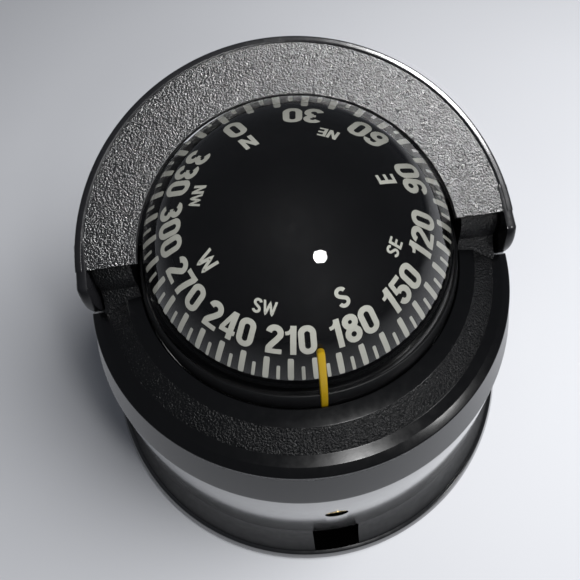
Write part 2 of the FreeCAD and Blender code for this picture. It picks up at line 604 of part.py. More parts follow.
def make_gimbals():
    """Outer ring on the bowl's pins, and inner frame with its counterweight and pivot post."""
    low, high = "z_gimbal - gimbal_half", "z_gimbal + gimbal_half"
    ring = revolved("outer_ring", [
        ("outer_ring_in", low), ("outer_ring_out", low), ("outer_ring_out", high),
        ("outer_ring_in", high)])
    ring_wall = "outer_ring_out - outer_ring_in + 1"
    running = both_sides("ring_bearing", "pin + pin_clear", "outer_ring_in - 0.5", ring_wall,
                         "z_gimbal", ALONG_X)
    fast = both_sides("ring_pin_hole", "pin", "outer_ring_in - 0.5",
                      "inner_pin_end - outer_ring_in + 0.5", "z_gimbal", ALONG_Y)
    node("gimbal_ring", cut("ring_cut", ring, running + fast))
    node("gimbal_roll_pins", fused("roll_pins", both_sides(
        "roll_pin", "pin", "inner_pin_start", "inner_pin_end - inner_pin_start",
        "z_gimbal", ALONG_Y)))
    web = revolved("frame", [
        ("post", "z_hub"), ("hub", "z_hub"), ("frame_out - 2 * pin", low),
        ("frame_out", f"{low} + pin"), ("frame_out", high), ("frame_in", high),
        ("frame_in", f"{low} + frame_web"), ("hub", "z_hub + frame_web"),
        ("hub / 2", "z_hub + 2 * frame_web"), ("post", "z_hub + 2 * frame_web")])
    holes = upright("web_hole", "lightening", "z_hub", "z_gimbal",
                    around("lightening_circle", 45))
    bearings = both_sides("frame_bearing", "pin + pin_clear", "frame_in - 0.5",
                          "frame_out - frame_in + 1", "z_gimbal", ALONG_Y)
    node("gimbal_frame", cut("frame_cut", web, holes + bearings))
    node("counterweight", revolved("weight", [
        ("post", "z_weight"), ("weight - weight_edge", "z_weight"),
        ("weight", "z_weight + weight_edge"), ("weight", "z_hub - 1"),
        ("weight - 2", "z_hub"), ("post", "z_hub")]))
    node("pivot_post", revolved("post_blank", [
        ("0", "z_weight"), ("post", "z_weight"), ("post", "z_post_taper"),
        ("tip", "z_tip - tip / 4"), ("0", "z_tip")]))


def make_card():
    """Dished card with its hub, float, jewel cup and two magnets."""
    edge = "z_card_edge - z_card_centre"
    inner = "(card_round - card_thick)"
    node("compass_card", revolved("card", [
        ("0", "z_jewel_top"), ("jewel", "z_jewel_top"), ("jewel", "z_jewel"),
        ("card_hub", "z_jewel"), ("card_hub", f"z_card_centre + sqrt({inner}^2 - card_hub^2)",
                                  f"-{inner}"),
        (f"sqrt({inner}^2 - ({edge})^2)", "z_card_edge"),
        (f"sqrt(card_round^2 - ({edge})^2)", "z_card_edge", "card_round"),
        ("0", "z_card_centre + card_round")]))
    solid = revolved("float", [
        ("card_hub", "z_float"), ("float_out", "z_float"), ("float_out", "z_float_top - float_edge"),
        ("float_out - float_edge", "z_float_top"), ("card_hub", "z_float_top")])
    inside = "float_out - float_wall"
    roof = "z_float_top - float_wall"
    hollow = revolved("float_hollow", [
        ("card_hub + float_wall", "z_float + float_wall"), (inside, "z_float + float_wall"),
        (inside, f"{roof} - float_edge"), (f"{inside} - float_edge", roof),
        ("card_hub + float_wall", roof)])
    node("card_float", cut("float_cut", solid, [hollow]))
    node("jewel_cup", revolved("jewel", [
        ("0", "z_tip + jewel_gap"), ("tip + jewel_gap", "z_tip - tip / 4"),
        ("jewel_mouth", "z_jewel"), ("jewel", "z_jewel"), ("jewel", "z_jewel_top"),
        ("0", "z_jewel_top")]))
    bars = [block(f"magnet_{side}", (f"{side} * magnet_offset - magnet_width / 2",
                                     "-magnet_length / 2", "z_float - magnet_height"),
                  ("magnet_width", "magnet_length", "magnet_height")) for side in (-1, 1)]
    magnets = node("card_magnets", fused("card_magnets_pair", bars))
    heading = value(magnets, "card_heading")
    magnets.Placement = Placement(Vector(), Rotation(Vector(0, 0, 1), heading))


# ---------------------------------------------------------------- hood

def make_hood():
    """Half-ring sun hood with two ears, drawn level about its axis and then tilted."""
    plate = revolved("hood_plate", [
        ("hood_in - 2 * hood_shift", "hood_low"), ("hood_out - bead", "hood_low"),
        ("hood_out - bead", "hood_skirt"), ("hood_out", "hood_skirt"), ("hood_out", "hood_bead"),
        ("hood_out - bead", "hood_bead"), ("hood_out - bead", "hood_high"),
        ("hood_in - 2 * hood_shift", "hood_high")], angle=180.0)
    opening = cylinder("hood_opening", "hood_in", "2 * hood_bead", ("0", "-hood_shift", "0"))
    ear_start = "hood_out - ear_thick"
    lips = []
    for name, start in (("lip_right", "hood_in"), ("lip_left", "-hood_out")):
        lips.append(block(name, (start, "-hood_lip", "hood_low"),
                          ("hood_out - hood_in", "hood_lip", "hood_high - hood_low")))
    discs = both_sides("ear", "ear", ear_start, "ear_thick", "0", ALONG_X)
    above = block("ear_trim", ("-hood_out", "-ear", "hood_bead"), ("2 * hood_out", "2 * ear", "ear"))
    ears = cut("ears", fused("ear_discs", discs), [above])
    holes = both_sides("ear_hole", "pivot + pivot_clear", ear_start, "ear_thick", "0", ALONG_X)
    sinks = both_sides("ear_sink", "pivot_head + 2 * pivot_clear",
                       "hood_out - pivot_sink - pivot_clear", "pivot_sink + pivot_clear", "0",
                       ALONG_X)
    hood = node("sun_hood", cut("hood_cut", fused("hood_blank", [plate, ears] + lips),
                                holes + sinks + [opening]))
    tilt = Rotation(Vector(1, 0, 0), value(hood, "hood_tilt"))
    hood.Placement = Placement(Vector(0, 0, value(hood, "z_hood")), tilt)
    shanks = both_sides("pivot_shank", "pivot", "pivot_start", "hood_out - pivot_start",
                        "z_hood", ALONG_X)
    heads = both_sides("pivot_cap", "pivot_head", "hood_out - pivot_sink", "pivot_sink",
                       "z_hood", ALONG_X)
    slots = [block(f"pivot_slot_{side}", (f"{side} * hood_out - slot_deep", "-slot / 2",
                                          "z_hood - pivot_head"),
                   ("2 * slot_deep", "slot", "2 * pivot_head")) for side in (-1, 1)]
    trimmed = cut("pivot_cut", fused("pivot_blank", shanks + heads), slots)
    node("hood_pivot_screws", trimmed)
    thickness = f"{ear_start} - notch_face - 2 * washer_gap"
    discs = both_sides("washer", "washer", "notch_face + washer_gap", thickness, "z_hood", ALONG_X)
    bores = both_sides("washer_bore", "pivot", "notch_face + washer_gap", thickness, "z_hood",
                       ALONG_X)
    node("hood_washers", cut("washer_cut", fused("washer_discs", discs), bores))


# ---------------------------------------------------------------- compensators

def wall_radius(height):
    """Outer radius of the housing's cone at a height."""
    return f"(r_parting + (r_flare - r_parting) * (z_parting - {height}) / (z_parting - z_flare))"


def make_rod(label, height, head_turn, magnet_label):
    """Slotted brass rod that runs inward from its port, with a magnet round its middle."""
    face = f"({wall_radius(height)} - head_inset)"
    front = head_turn is TO_Y
    place = ("0", f"-{face}", height) if front else (face, "0", height)
    middle = "(lug_near - rod_play)"
    magnet_place = ("0", f"-{middle}", height) if front else (middle, "0", height)
    shank = cylinder(f"{label}_shank", "rod", f"{face} + rod_tail", place, head_turn)
    head = cylinder(f"{label}_head", "rod_head", "head_length", place, head_turn)
    if front:
        slot = block(f"{label}_slot", ("-rod_head", f"-{face}", f"{height} - slot / 2"),
                     ("2 * rod_head", "slot_deep", "slot"))
    else:
        slot = block(f"{label}_slot", (f"{face} - slot_deep", "-rod_head", f"{height} - slot / 2"),
                     ("slot_deep", "2 * rod_head", "slot"))
    node(label, cut(f"{label}_cut", fused(f"{label}_blank", [shank, head]), [slot]))
    length = f"2 * {middle}"
    sleeve = cylinder(f"{label}_sleeve", "rod_magnet", length, magnet_place, head_turn)
    bore = cylinder(f"{label}_bore", "rod", length, magnet_place, head_turn)
    node(magnet_label, cut(f"{label}_magnet_cut", sleeve, [bore]))


def make_bracket():
    """Bracket on four legs, with a pair of lugs for each compensator rod."""
    top = "z_bracket + bracket_thick"
    solids = [cylinder("bracket_disc", "bracket", "bracket_thick", ("0", "0", "z_bracket"))]
    solids.append(block("bracket_arm_x", ("-leg_out", "-leg_width / 2", "z_bracket"),
                        ("2 * leg_out", "leg_width", "bracket_thick")))
    solids.append(block("bracket_arm_y", ("-leg_width / 2", "-leg_out", "z_bracket"),
                        ("leg_width", "2 * leg_out", "bracket_thick")))
    foot = "z_flange + flange"
    for sign, start in ((1, "leg_out - leg_thick"), (-1, "-leg_out")):
        solids.append(block(f"leg_x_{sign}", (start, "-leg_width / 2", foot),
                            ("leg_thick", "leg_width", f"{top} - ({foot})")))
        solids.append(block(f"leg_y_{sign}", ("-leg_width / 2", start, foot),
                            ("leg_width", "leg_thick", f"{top} - ({foot})")))
    for sign, start in ((1, "lug_near"), (-1, "-lug_near - lug_thick")):
        solids.append(block(f"lug_y_{sign}", ("-lug_width / 2", start, "z_bracket"),
                            ("lug_width", "lug_thick", "z_fore_rod + lug_above - z_bracket")))
        solids.append(block(f"lug_x_{sign}", (start, "-lug_width / 2", "z_bracket"),
                            ("lug_thick", "lug_width", "z_cross_rod + lug_above - z_bracket")))
    bearings = [
        cylinder("fore_bearing", "rod + rod_clear", "2 * bracket", ("0", "-bracket", "z_fore_rod"),
                 TO_Y),
        cylinder("cross_bearing", "rod + rod_clear", "2 * bracket",
                 ("bracket", "0", "z_cross_rod"), TO_MINUS_X)]
    holes = upright("leg_bore", "small_screw", foot, "z_leg_screw", LEG_PLACES)
    node("compensator_bracket", cut("bracket_cut", fused("bracket_blank", solids),
                                    bearings + holes))
    node("bracket_screws", screws("bracket_screw", SMALL, "z_flange", "z_leg_screw", LEG_PLACES))


def make_compensators():
    """Both compensator rods and the bracket that carries them."""
    make_bracket()
    make_rod("fore_compensator_rod", "z_fore_rod", TO_Y, "fore_compensator_magnet")
    make_rod("cross_compensator_rod", "z_cross_rod", TO_MINUS_X, "cross_compensator_magnet")


# ---------------------------------------------------------------- checking and export

def check_document():
    """Stop if any object failed or any sub-part's shape is missing or faulty."""
    for item in doc.Objects:
        if {"Invalid", "Error"} & set(item.State):
            raise RuntimeError(f"{item.Name} did not rebuild: {item.State}")
    labels = [item.Label for item in nodes]
    if len(set(labels)) != len(labels):
        raise RuntimeError("two sub-parts share a name")
    for item in nodes:
        if item.Shape.isNull() or not item.Shape.isValid() or not item.Shape.Solids:
            raise RuntimeError(f"{item.Label} has no valid solid")


def export():
    """Write each sub-part to its own file."""
    os.makedirs("parts", exist_ok=True)
    for item in nodes:
        item.Shape.exportStep(f"parts/{item.Label}.step")
        print(f"{item.Label}: {len(item.Shape.Solids)} solid(s), {item.Shape.Volume:.0f} mm3")


fill_sheet()
make_base()
make_housing()
make_collar()
make_bezel()
make_trim()
make_lamp()
make_capsule()
make_gimbals()
make_card()
make_hood()
make_compensators()
doc.recompute()
check_document()
export()
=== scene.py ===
import json
import math

import bmesh
import bpy
from mathutils import Matrix, Vector


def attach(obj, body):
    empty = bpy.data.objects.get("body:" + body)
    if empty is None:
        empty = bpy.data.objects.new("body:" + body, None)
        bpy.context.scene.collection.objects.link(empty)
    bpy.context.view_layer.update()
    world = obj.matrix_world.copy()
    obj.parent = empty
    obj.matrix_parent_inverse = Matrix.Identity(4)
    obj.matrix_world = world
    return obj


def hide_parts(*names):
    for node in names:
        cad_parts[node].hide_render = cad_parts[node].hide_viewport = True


# Lengths below are millimetres unless a name says otherwise; meshes are scaled to metres.
MM = 0.001
RING_Z = 64.5          # height of the bezel's reference plane and of the dome's centre
HOOD_Z = 69.0          # height of the hood's pivot axis
HOOD_TILT = 21.0       # degrees the hood is tilted at rest
HOOD_IN = 36.5         # radius of the hood's opening
HOOD_SHIFT = 1.9       # how far in front of its axis the opening is centred
EAR_R = 9.5            # radius of the hood's ears
DOME_R = 37.3
CARD_R = 31.0          # radius of the card's dished face
CARD_CENTRE_Z = 49.9
LUBBER_READING = 199.0  # heading under the lubber line
PRINT_LIFT = 0.03       # how far the print stands off the card
BEZEL_GRAIN = (42.5, 47.2)   # radii between which the bezel is grained
HOOD_GRAIN_OUT = 48.2   # radius where the hood's grain ends
CAMERA_DISTANCE = 119.0  # from the dome's centre
CAMERA_LIFT = 59.3      # camera angles in degrees
CAMERA_ROLL = -3.9
CAMERA_YAW = -5.0

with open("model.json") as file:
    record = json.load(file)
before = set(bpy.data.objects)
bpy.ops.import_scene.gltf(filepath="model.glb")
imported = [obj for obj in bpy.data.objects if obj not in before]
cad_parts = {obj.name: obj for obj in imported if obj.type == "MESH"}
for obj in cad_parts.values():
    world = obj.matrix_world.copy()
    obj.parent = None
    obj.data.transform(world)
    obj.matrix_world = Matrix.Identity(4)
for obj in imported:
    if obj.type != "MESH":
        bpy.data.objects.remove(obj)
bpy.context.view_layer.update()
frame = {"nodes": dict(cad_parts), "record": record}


# ---------------------------------------------------------------- outlines

def arc(centre, radius, start, end, steps):
    """Points on a circle between two angles in degrees."""
    points = []
    for step in range(steps + 1):
        angle = math.radians(start + (end - start) * step / steps)
        points.append((centre[0] + radius * math.cos(angle), centre[1] + radius * math.sin(angle)))
    return points


def softened(outline, steps=5):
    """Closed outline with each (x, y, radius) corner rounded; (x, y) corners stay sharp."""
    result = []
    for index, corner in enumerate(outline):
        here = Vector(corner[:2])
        if len(corner) < 3:
            result.append(tuple(here))
            continue
        before = Vector(outline[index - 1][:2]) - here
        after = Vector(outline[(index + 1) % len(outline)][:2]) - here
        half = before.angle(after) / 2
        reach = min(corner[2] / math.tan(half), before.length * 0.49, after.length * 0.49)
        radius = reach * math.tan(half)
        before.normalize()
        after.normalize()
        centre = here + (before + after).normalized() * (radius / math.sin(half))
        first = here + before * reach - centre
        last = here + after * reach - centre
        turn = first.angle_signed(last)
        for step in range(steps + 1):
            spoke = first.copy()
            spoke.rotate(Matrix.Rotation(-turn * step / steps, 2))
            result.append(tuple(centre + spoke))
    return result


# ---------------------------------------------------------------- meshes

def new_object(name, mesh, sharp=35.0):
    """Link a mesh as a smooth-shaded object whose hard edges stay sharp."""
    mesh.polygons.foreach_set("use_smooth", [True] * len(mesh.polygons))
    mesh.set_sharp_from_angle(angle=math.radians(sharp))
    item = bpy.data.objects.new(name, mesh)
    bpy.context.scene.collection.objects.link(item)
    return item


def skin(name, rows, closed_rows, closed_loop=True):
    """Mesh from rows of points; neighbouring rows are joined by quads, open ends get caps."""
    bm = bmesh.new()
    grid = [[bm.verts.new(Vector(point) * MM) for point in row] for row in rows]
    count = len(grid[0])
    pairs = list(zip(grid, grid[1:]))
    if closed_rows:
        pairs.append((grid[-1], grid[0]))
    for first, second in pairs:
        for index in range(count if closed_loop else count - 1):
            following = (index + 1) % count
            bm.faces.new((first[index], first[following], second[following], second[index]))
    if not closed_rows:
        bm.faces.new(grid[0])
        bm.faces.new(grid[-1][::-1])
    bmesh.ops.remove_doubles(bm, verts=bm.verts, dist=1e-7)
    bmesh.ops.recalc_face_normals(bm, faces=bm.faces)
    mesh = bpy.data.meshes.new(name)
    bm.to_mesh(mesh)
    bm.free()
    return mesh


def ring(name, outline, steps=240):
    """Outline of (radius, height) turned right round Z."""
    rows = []
    for step in range(steps):
        angle = math.tau * step / steps
        rows.append([(r * math.cos(angle), r * math.sin(angle), z) for r, z in outline])
    return skin(name, rows, closed_rows=True)


def part_ring(name, outline_at, stations):
    """Outline swept along (angle in degrees, shift along Y) stations, with capped ends.

    outline_at(angle) gives the (radius, height) points at one angle.
    """
    rows = []
    for degrees, shift in stations:
        angle = math.radians(degrees)
        rows.append([(r * math.cos(angle), r * math.sin(angle) + shift, z)
                     for r, z in outline_at(angle)])
    return skin(name, rows, closed_rows=False)


def around_x(name, profile, height, steps=96):
    """Closed profile turned round the X axis at a height.

    profile(angle) gives the (radius, x) points at one angle, measured from +Y towards +Z.
    """
    rows = []
    for step in range(steps):
        angle = math.tau * step / steps
        rows.append([(x, r * math.cos(angle), height + r * math.sin(angle))
                     for r, x in profile(angle)])
    return skin(name, rows, closed_rows=True)


def joined(name, meshes, sharp=35.0):
    """One object from several meshes, which keep their material numbers."""
    bm = bmesh.new()
    for mesh in meshes:
        bm.from_mesh(mesh)
    result = bpy.data.meshes.new(name)
    bm.to_mesh(result)
    bm.free()
    return new_object(name, result, sharp)


def mirrored(mesh):
    """Copy of a mesh mirrored to the other side of X."""
    bm = bmesh.new()
    bm.from_mesh(mesh)
    bmesh.ops.scale(bm, vec=(-1, 1, 1), verts=bm.verts)
    bmesh.ops.reverse_faces(bm, faces=bm.faces)
    result = bpy.data.meshes.new(mesh.name + "_left")
    bm.to_mesh(result)
    bm.free()
    return result


def cutter(bm):
    """Cutter mesh whose faces leave the second material on what they cut."""
    for face in bm.faces:
        face.material_index = 1
    mesh = bpy.data.meshes.new("cutter")
    bm.to_mesh(mesh)
    bm.free()
    return mesh


def block(low, high):
    """Box cutter between two corners."""
    bm = bmesh.new()
    bmesh.ops.create_cube(bm, size=1)
    size = Vector(high) - Vector(low)
    bmesh.ops.scale(bm, vec=size * MM, verts=bm.verts)
    bmesh.ops.translate(bm, vec=(Vector(low) + size / 2) * MM, verts=bm.verts)
    return cutter(bm)


def drum(radius, length, centre, axis):
    """Round cutter of a length along an axis, centred on a point."""
    bm = bmesh.new()
    bmesh.ops.create_cone(bm, cap_ends=True, segments=72, radius1=radius * MM,
                          radius2=radius * MM, depth=length * MM)
    turn = Vector((0, 0, 1)).rotation_difference(Vector(axis)).to_matrix()
    bmesh.ops.rotate(bm, matrix=turn, verts=bm.verts)
    bmesh.ops.translate(bm, vec=Vector(centre) * MM, verts=bm.verts)
    return cutter(bm)


def mark_faces(mesh, wanted, number):
    """Give the faces that a test picks, from their centre and normal in mm, a material number."""
    for face in mesh.polygons:
        if wanted(face.center / MM, face.normal):
            face.material_index = number


def carved(mesh, cutters):
    """Mesh less its cutters."""
    looks = [SLOT_LOOKS["housing_black"], SLOT_LOOKS["inner_black"]]
    item = new_object("carved", mesh)
    for piece in [mesh] + cutters:
        for look in looks:
            piece.materials.append(look)
    for shape in cutters:
        tool = new_object("tool", shape)
        modifier = item.modifiers.new("cut", "BOOLEAN")
        modifier.operation = "DIFFERENCE"
        modifier.solver = "EXACT"
        modifier.object = tool
        graph = bpy.context.evaluated_depsgraph_get()
        result = bpy.data.meshes.new_from_object(item.evaluated_get(graph))
        item.modifiers.clear()
        item.data = result
        bpy.data.objects.remove(tool)
    result = item.data
    bpy.data.objects.remove(item)
    return result


# ---------------------------------------------------------------- materials

def shader(name):
    """New node material, with its tree and its main shader."""
    made = bpy.data.materials.new(name)
    made.use_nodes = True
    tree = made.node_tree
    return made, tree, tree.nodes["Principled BSDF"]


def link(tree, source, socket, target, name):
    tree.links.new(source.outputs[socket], target.inputs[name])


def noise(tree, scale, detail=2.0, rough=0.5):
    """Noise in the object's own coordinates, scale in features per metre."""
    place = tree.nodes.new("ShaderNodeTexCoord")
    item = tree.nodes.new("ShaderNodeTexNoise")
    item.inputs["Scale"].default_value = scale
    item.inputs["Detail"].default_value = detail
    item.inputs["Roughness"].default_value = rough
    link(tree, place, "Object", item, "Vector")
    return item


def spread(tree, source, socket, low, high):
    """Map a 0.3 to 0.7 signal to a range."""
    item = tree.nodes.new("ShaderNodeMapRange")
    item.inputs["From Min"].default_value = 0.3
    item.inputs["From Max"].default_value = 0.7
    item.inputs["To Min"].default_value = low
    item.inputs["To Max"].default_value = high
    link(tree, source, socket, item, "Value")
    return item


def tint(tree, source, socket, dark, light):
    """Blend two colours by a signal."""
    item = tree.nodes.new("ShaderNodeMix")
    item.data_type = "RGBA"
    tree.links.new(source.outputs[socket], item.inputs[0])
    item.inputs[6].default_value = (*dark, 1)
    item.inputs[7].default_value = (*light, 1)
    return item


def bumped(tree, main, source, socket, height, normal=None):
    """Bump of a height in millimetres."""
    item = tree.nodes.new("ShaderNodeBump")
    item.inputs["Strength"].default_value = 1.0
    item.inputs["Distance"].default_value = height * MM
    link(tree, source, socket, item, "Height")
    if normal:
        link(tree, normal, "Normal", item, "Normal")
    link(tree, item, "Normal", main, "Normal")
    return item


def plastic(name, dark, light, rough, grain=None, edge=0.0, coat=0.0, shine=0.5):
    """Moulded plastic: slight mottling, uneven gloss, optional grain of (scale, height)."""
    made, tree, main = shader(name)
    main.inputs["Specular IOR Level"].default_value = shine
    mottle = noise(tree, 160, 3)
    colour = tint(tree, mottle, "Fac", dark, light)
    tree.links.new(colour.outputs[2], main.inputs["Base Color"])
    gloss = noise(tree, 420, 4, 0.6)
    level = spread(tree, gloss, "Fac", rough[0], rough[1])
    link(tree, level, "Result", main, "Roughness")
    main.inputs["Coat Weight"].default_value = coat
    main.inputs["Coat Roughness"].default_value = 0.12
    normal = None
    if edge:
        normal = tree.nodes.new("ShaderNodeBevel")
        normal.samples = 4
        normal.inputs["Radius"].default_value = edge * MM
        link(tree, normal, "Normal", main, "Normal")
    if grain:
        bumped(tree, main, noise(tree, grain[0], 2, 0.5), "Fac", grain[1], normal=normal)
    return made


def metal(name, dark, light, rough):
    """Metal with fine turning marks and patchy tarnish."""
    made, tree, main = shader(name)
    main.inputs["Metallic"].default_value = 1.0
    patches = noise(tree, 700, 4, 0.6)
    colour = tint(tree, patches, "Fac", dark, light)
    tree.links.new(colour.outputs[2], main.inputs["Base Color"])
    level = spread(tree, patches, "Fac", rough[0], rough[1])
    link(tree, level, "Result", main, "Roughness")
    bumped(tree, main, noise(tree, 6000, 2), "Fac", 0.004)
    return made


def glass(name):
    """Clear acrylic and the fluid behind it, refracting as one body."""
    made, tree, main = shader(name)
    main.inputs["Transmission Weight"].default_value = 1.0
    main.inputs["IOR"].default_value = 1.42
    haze = noise(tree, 90, 5, 0.7)
    level = spread(tree, haze, "Fac", 0.0, 0.008)
    link(tree, level, "Result", main, "Roughness")
    colour = tint(tree, haze, "Fac", (0.97, 0.98, 0.98), (1.0, 1.0, 1.0))
    tree.links.new(colour.outputs[2], main.inputs["Base Color"])
    return made


BLACK_LOW = (0.0022, 0.0022, 0.0026)
BLACK_HIGH = (0.0042, 0.0042, 0.0048)
SLOT_LOOKS = {
    "housing_black": plastic("housing_black", BLACK_LOW, BLACK_HIGH, (0.16, 0.24),
                             (900, 0.002), edge=0.3, coat=1.0, shine=0.9),
    "trim_black": plastic("trim_black", BLACK_LOW, BLACK_HIGH, (0.36, 0.46), (2400, 0.03)),
    "inner_black": plastic("inner_black", (0.006, 0.006, 0.007), (0.012, 0.012, 0.013),
                           (0.45, 0.6), (1500, 0.01)),
    "card_black": plastic("card_black", (0.0012, 0.0012, 0.0015), (0.0026, 0.0026, 0.0030),
                          (0.5, 0.62), (2500, 0.003), shine=0.06),
    "card_ink": plastic("card_ink", (0.38, 0.38, 0.34), (0.45, 0.45, 0.40), (0.5, 0.6),
                        (3000, 0.004), shine=0.06),
    "lubber_yellow": plastic("lubber_yellow", (0.64, 0.39, 0.002), (0.74, 0.47, 0.004),
                             (0.35, 0.45), (1200, 0.004)),
    "dome_clear": glass("dome_clear"),
    "rubber_black": plastic("rubber_black", (0.02, 0.02, 0.02), (0.03, 0.03, 0.03),
                            (0.6, 0.8), (1500, 0.02)),
    "brass": metal("brass", (0.42, 0.29, 0.11), (0.72, 0.56, 0.27), (0.22, 0.42)),
    "stainless": metal("stainless", (0.45, 0.45, 0.46), (0.62, 0.62, 0.63), (0.25, 0.4)),
    "magnet_grey": metal("magnet_grey", (0.22, 0.22, 0.23), (0.32, 0.32, 0.33), (0.35, 0.5)),
    "board_green": plastic("board_green", (0.01, 0.06, 0.02), (0.02, 0.10, 0.03), (0.35, 0.5),
                           (1500, 0.01)),
    "lamp_red": plastic("lamp_red", (0.35, 0.01, 0.008), (0.5, 0.02, 0.015), (0.15, 0.25),
                        (1200, 0.003)),
}
# Painted shade: near-black, matte plastic with no shine, darker than the housing, put on the cut
# walls of the notch and ports so that these recesses look shaded and show no highlight.
RECESS_SHADE = plastic("painted_recess_shade", (0.001, 0.001, 0.001), (0.002, 0.002, 0.002), (0.9, 1.0),
                (1500, 0.01), shine=0.0)
MOULDED = plastic("moulded_black", BLACK_LOW, BLACK_HIGH, (0.20, 0.28), (1300, 0.003))
GRAINED = plastic("grained_black", BLACK_LOW, BLACK_HIGH, (0.26, 0.32), (2200, 0.45))
SATIN = plastic("satin_black", BLACK_LOW, BLACK_HIGH, (0.40, 0.50), (1300, 0.003), shine=0.4)


def dress(item, slot, body, *nodes, looks=None):
    """Give a piece its material and its body, and hide the CAD nodes it stands for."""
    for look in looks or [SLOT_LOOKS[slot]]:
        item.data.materials.append(look)
    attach(item, body)
    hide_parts(*nodes)
    return item


def dress_frame():
    """Give every CAD node its slot's material."""
    slots = {entry["node"]: entry["material_slot"] for entry in frame["record"]["subparts"]}
    for name, item in frame["nodes"].items():
        item.data.materials.clear()
        item.data.materials.append(SLOT_LOOKS[slots[name]])


# ---------------------------------------------------------------- housing

def arc_between(first, last, radius, steps):
    """Points on the arc that joins two points and hollows the left-hand side of the line."""
    first, last = Vector(first), Vector(last)
    along = last - first
    sideways = Vector((along.y, -along.x)).normalized()
    depth = math.sqrt(radius ** 2 - (along.length / 2) ** 2)
    centre = (first + last) / 2 + sideways * depth
    begin, end = first - centre, last - centre
    turn = begin.angle_signed(end)
    points = []
    for step in range(steps + 1):
        spoke = begin.copy()
        spoke.rotate(Matrix.Rotation(-turn * step / steps, 2))
        points.append(tuple(centre + spoke))
    return points


def make_housing():
    """Flared housing with its satin foot, cable notch and two compensator ports, whose cut walls
    carry painted shade.
    """
    flare = arc_between((65.0, 3.2), (60.0, 18.5), 24.0, 16)
    foot = [(44.0, 5.2), (57.2, 5.2), (57.2, 1.2), (66.9, 1.2, 0.1), (65.9, 3.15, 0.4)]
    wall = [(55.12, 51.86, 0.1), (54.9, 52.0), (52.3, 52.0), (57.2, 18.5), (57.2, 8.2),
            (44.0, 8.2)]
    outline = foot + flare + wall
    blank = ring("housing", softened(outline), 320)
    mark_faces(blank, lambda at, normal: 3.3 < at.z < 15.5 and at.xy.length > 60.2, 2)
    notch = block((-6.5, -70.0, 3.25), (6.5, -54.4, 15.0))
    fore_port = drum(2.8, 11.2, (0, -54.4, 37.6), (0, 1, 0))
    cross_port = drum(2.8, 11.2, (54.4, 0, 31.0), (1, 0, 0))
    # The cut walls of the notch and both ports take the second look, the painted recess shade.
    item = joined("housing", [carved(blank, [notch, fore_port, cross_port])])
    return dress(item, "housing_black", "housing", "base_housing",
                 looks=[SLOT_LOOKS["housing_black"], RECESS_SHADE, SATIN])


# ---------------------------------------------------------------- bezel, trim and lubber line

def at_ring(points):
    """Outline points whose heights are given above the ring plane."""
    return [(point[0], point[1] + RING_Z, *point[2:]) for point in points]


def knuckle_profile(angle):
    """Profile of a knuckle at one angle about the hood's axis."""
    foot_half, drop, radius = 10.8, HOOD_Z - RING_Z + 0.9, 5.6
    across, rise = math.cos(angle), math.sin(angle)
    reach = radius
    if rise < 0:
        slope = (foot_half - radius) / drop
        side = radius / (abs(across) + slope * rise) if abs(across) + slope * rise > 0 else 1e9
        reach = min(side, drop / -rise)
    inner = math.sqrt(38.7 ** 2 - min(reach * abs(across), foot_half) ** 2)
    return [(0.0, 38.7), (reach, inner), (reach, 46.55), (reach - 0.12, 46.85),
            (reach - 0.4, 47.0), (2.0, 47.0), (2.0, 40.5), (0.0, 40.5)]


def make_bezel():
    """Stepped bezel ring with the hood's knuckles and the round recesses for its ears."""
    outline = softened(at_ring([
        (38.7, -1.6), (45.3, -1.6), (45.3, -5.2), (51.5, -5.2, 0.4), (51.5, -0.8, 0.5),
        (49.5, 0.0, 0.5), (47.3, 0.2, 0.35), (42.4, 2.3, 0.3), (38.7, 2.7, 0.35)]))
    blank = ring("bezel", outline)
    low, high = BEZEL_GRAIN
    mark_faces(blank, lambda at, normal: low < at.xy.length < high and normal.z > 0.5, 2)
    recesses = [drum(EAR_R + 0.4, 10, (side * 52.0, 0, HOOD_Z), (1, 0, 0)) for side in (1, -1)]
    cut = carved(blank, recesses)
    knuckle = around_x("knuckle", knuckle_profile, HOOD_Z)
    mark_faces(knuckle, lambda at, normal: abs(normal.x) < 0.5, 2)
    item = joined("bezel", [cut, knuckle, mirrored(knuckle)])
    return dress(item, "trim_black", "housing", "bezel_ring", looks=[MOULDED, MOULDED, GRAINED])


def make_trim():
    """Textured trim ring with a slot for the lubber line."""
    outline = softened(at_ring([
        (37.5, -1.6), (38.5, -1.6), (38.5, 2.5, 0.2), (37.4, 6.6, 0.15), (36.95, 6.6, 0.1),
        (37.5, 2.5)]), 3)
    half = math.degrees(0.8 / 38.0)
    count = 220
    stations = [(-90 + half + (360 - 2 * half) * step / count, 0.0) for step in range(count + 1)]
    item = joined("trim", [part_ring("trim", lambda angle: outline, stations)])
    return dress(item, "trim_black", "housing", "dome_trim_ring")


def make_lubber():
    """Curved yellow line with a rounded top, standing in the trim ring's slot."""
    rows = []
    steps = 40
    foot, top = -2.3, 31.0
    for step in range(steps + 1):
        degrees = foot + (top - foot) * math.sin(math.pi / 2 * step / steps)
        left = math.radians(top - degrees) * 38.0
        width = 0.75 if left > 0.75 else math.sqrt(max(0.75 ** 2 - (0.75 - left) ** 2, 0.0004))
        angle = math.radians(degrees)
        section = softened([(37.45, -width), (38.6, -width, 0.3), (38.6, width, 0.3),
                            (37.45, width)], 3)
        rows.append([(x, -r * math.cos(angle), RING_Z + r * math.sin(angle)) for r, x in section])
    item = joined("lubber", [skin("lubber", rows, closed_rows=False)])
    return dress(item, "lubber_yellow", "housing", "lubber_line")


# ---------------------------------------------------------------- dome and card

